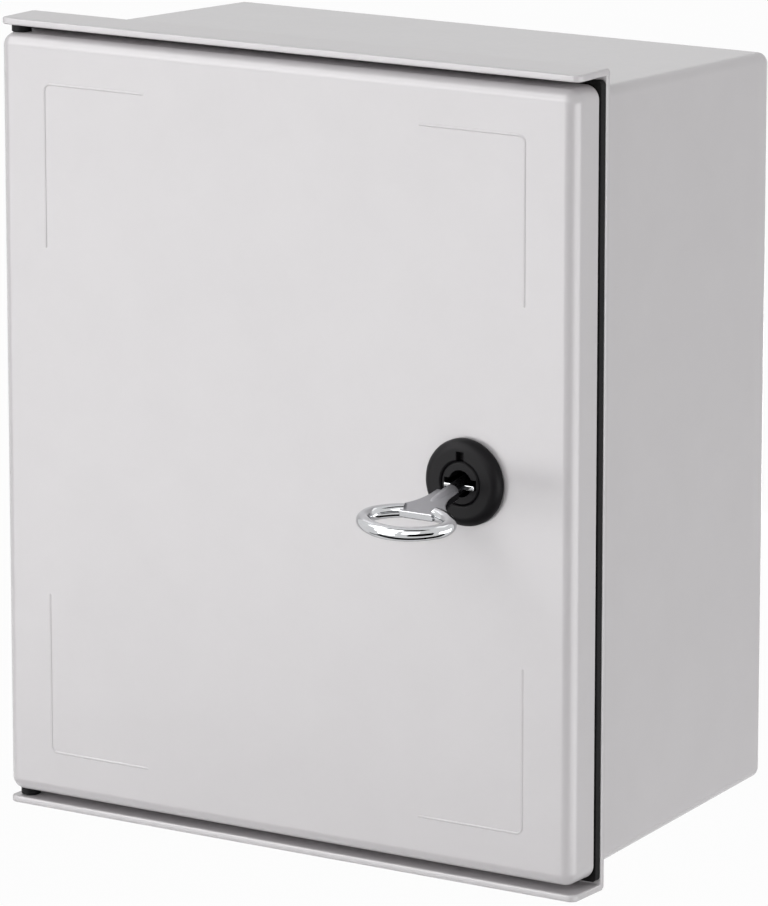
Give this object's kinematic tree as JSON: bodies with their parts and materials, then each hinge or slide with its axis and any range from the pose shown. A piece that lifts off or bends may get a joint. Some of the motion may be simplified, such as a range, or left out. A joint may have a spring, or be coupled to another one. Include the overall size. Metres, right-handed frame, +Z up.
{
  "type": "fiberglass wall enclosure",
  "caption": "Light grey moulded fiberglass wall box with drip eaves, a side-hung rolled-edge door on pivot pins, a quarter-turn latch with its key and an inner mounting plate.",
  "frame": {"origin": "centre of the wall-fixing holes, on the flat back face", "axes": "+X to the right when facing the door, +Y into the wall, +Z up"},
  "size_m": [0.25, 0.2033, 0.3],
  "materials": {
    "moulding": "satin moulded glass-reinforced polyester",
    "seal_rubber": "matt rubber",
    "stainless": "turned stainless steel",
    "zinc_steel": "bright zinc plate",
    "galvanised": "galvanised sheet steel",
    "brass": "turned brass",
    "bush_nylon": "black nylon",
    "lock_black": "black moulded polyamide",
    "key_chrome": "chromed die casting"
  },
  "bodies": {
    "enclosure": {"body_shell": "moulding", "door_seal": "seal_rubber", "upper_hinge_pin": "stainless", "lower_hinge_pin": "stainless", "hinge_clip": "stainless", "strike_bracket": "zinc_steel", "strike_screws": "zinc_steel", "plate_inserts": "brass", "mounting_plate": "galvanised", "plate_washers": "zinc_steel", "plate_screws": "zinc_steel"},
    "door": {"door_panel": "moulding", "upper_hinge_bush": "bush_nylon", "lower_hinge_bush": "bush_nylon", "lock_housing": "lock_black", "lock_seal": "seal_rubber", "lock_washer": "zinc_steel", "lock_nut": "zinc_steel"},
    "lock_core": {"lock_rotor": "lock_black", "rotor_o_ring": "seal_rubber", "drive_pin": "stainless", "latch_cam": "zinc_steel", "cam_washer": "zinc_steel", "cam_screw": "zinc_steel"},
    "key": {"lock_key": "key_chrome"}
  },
  "joints": [
    {"name": "door_hinge", "type": "hinge", "parent": "enclosure", "child": "door", "pos_m": [-0.119, -0.1428, 0], "axis": [0, 0, -1], "range_deg": [0, 165]},
    {"name": "lock_turn", "type": "hinge", "parent": "door", "child": "lock_core", "pos_m": [0.0802, -0.141, 0], "axis": [0, -1, 0], "range_deg": [0, 90]},
    {"name": "key_pull", "type": "slide", "parent": "lock_core", "child": "key", "axis": [0, -1, 0], "range_m": [0, 0.03]}
  ]
}
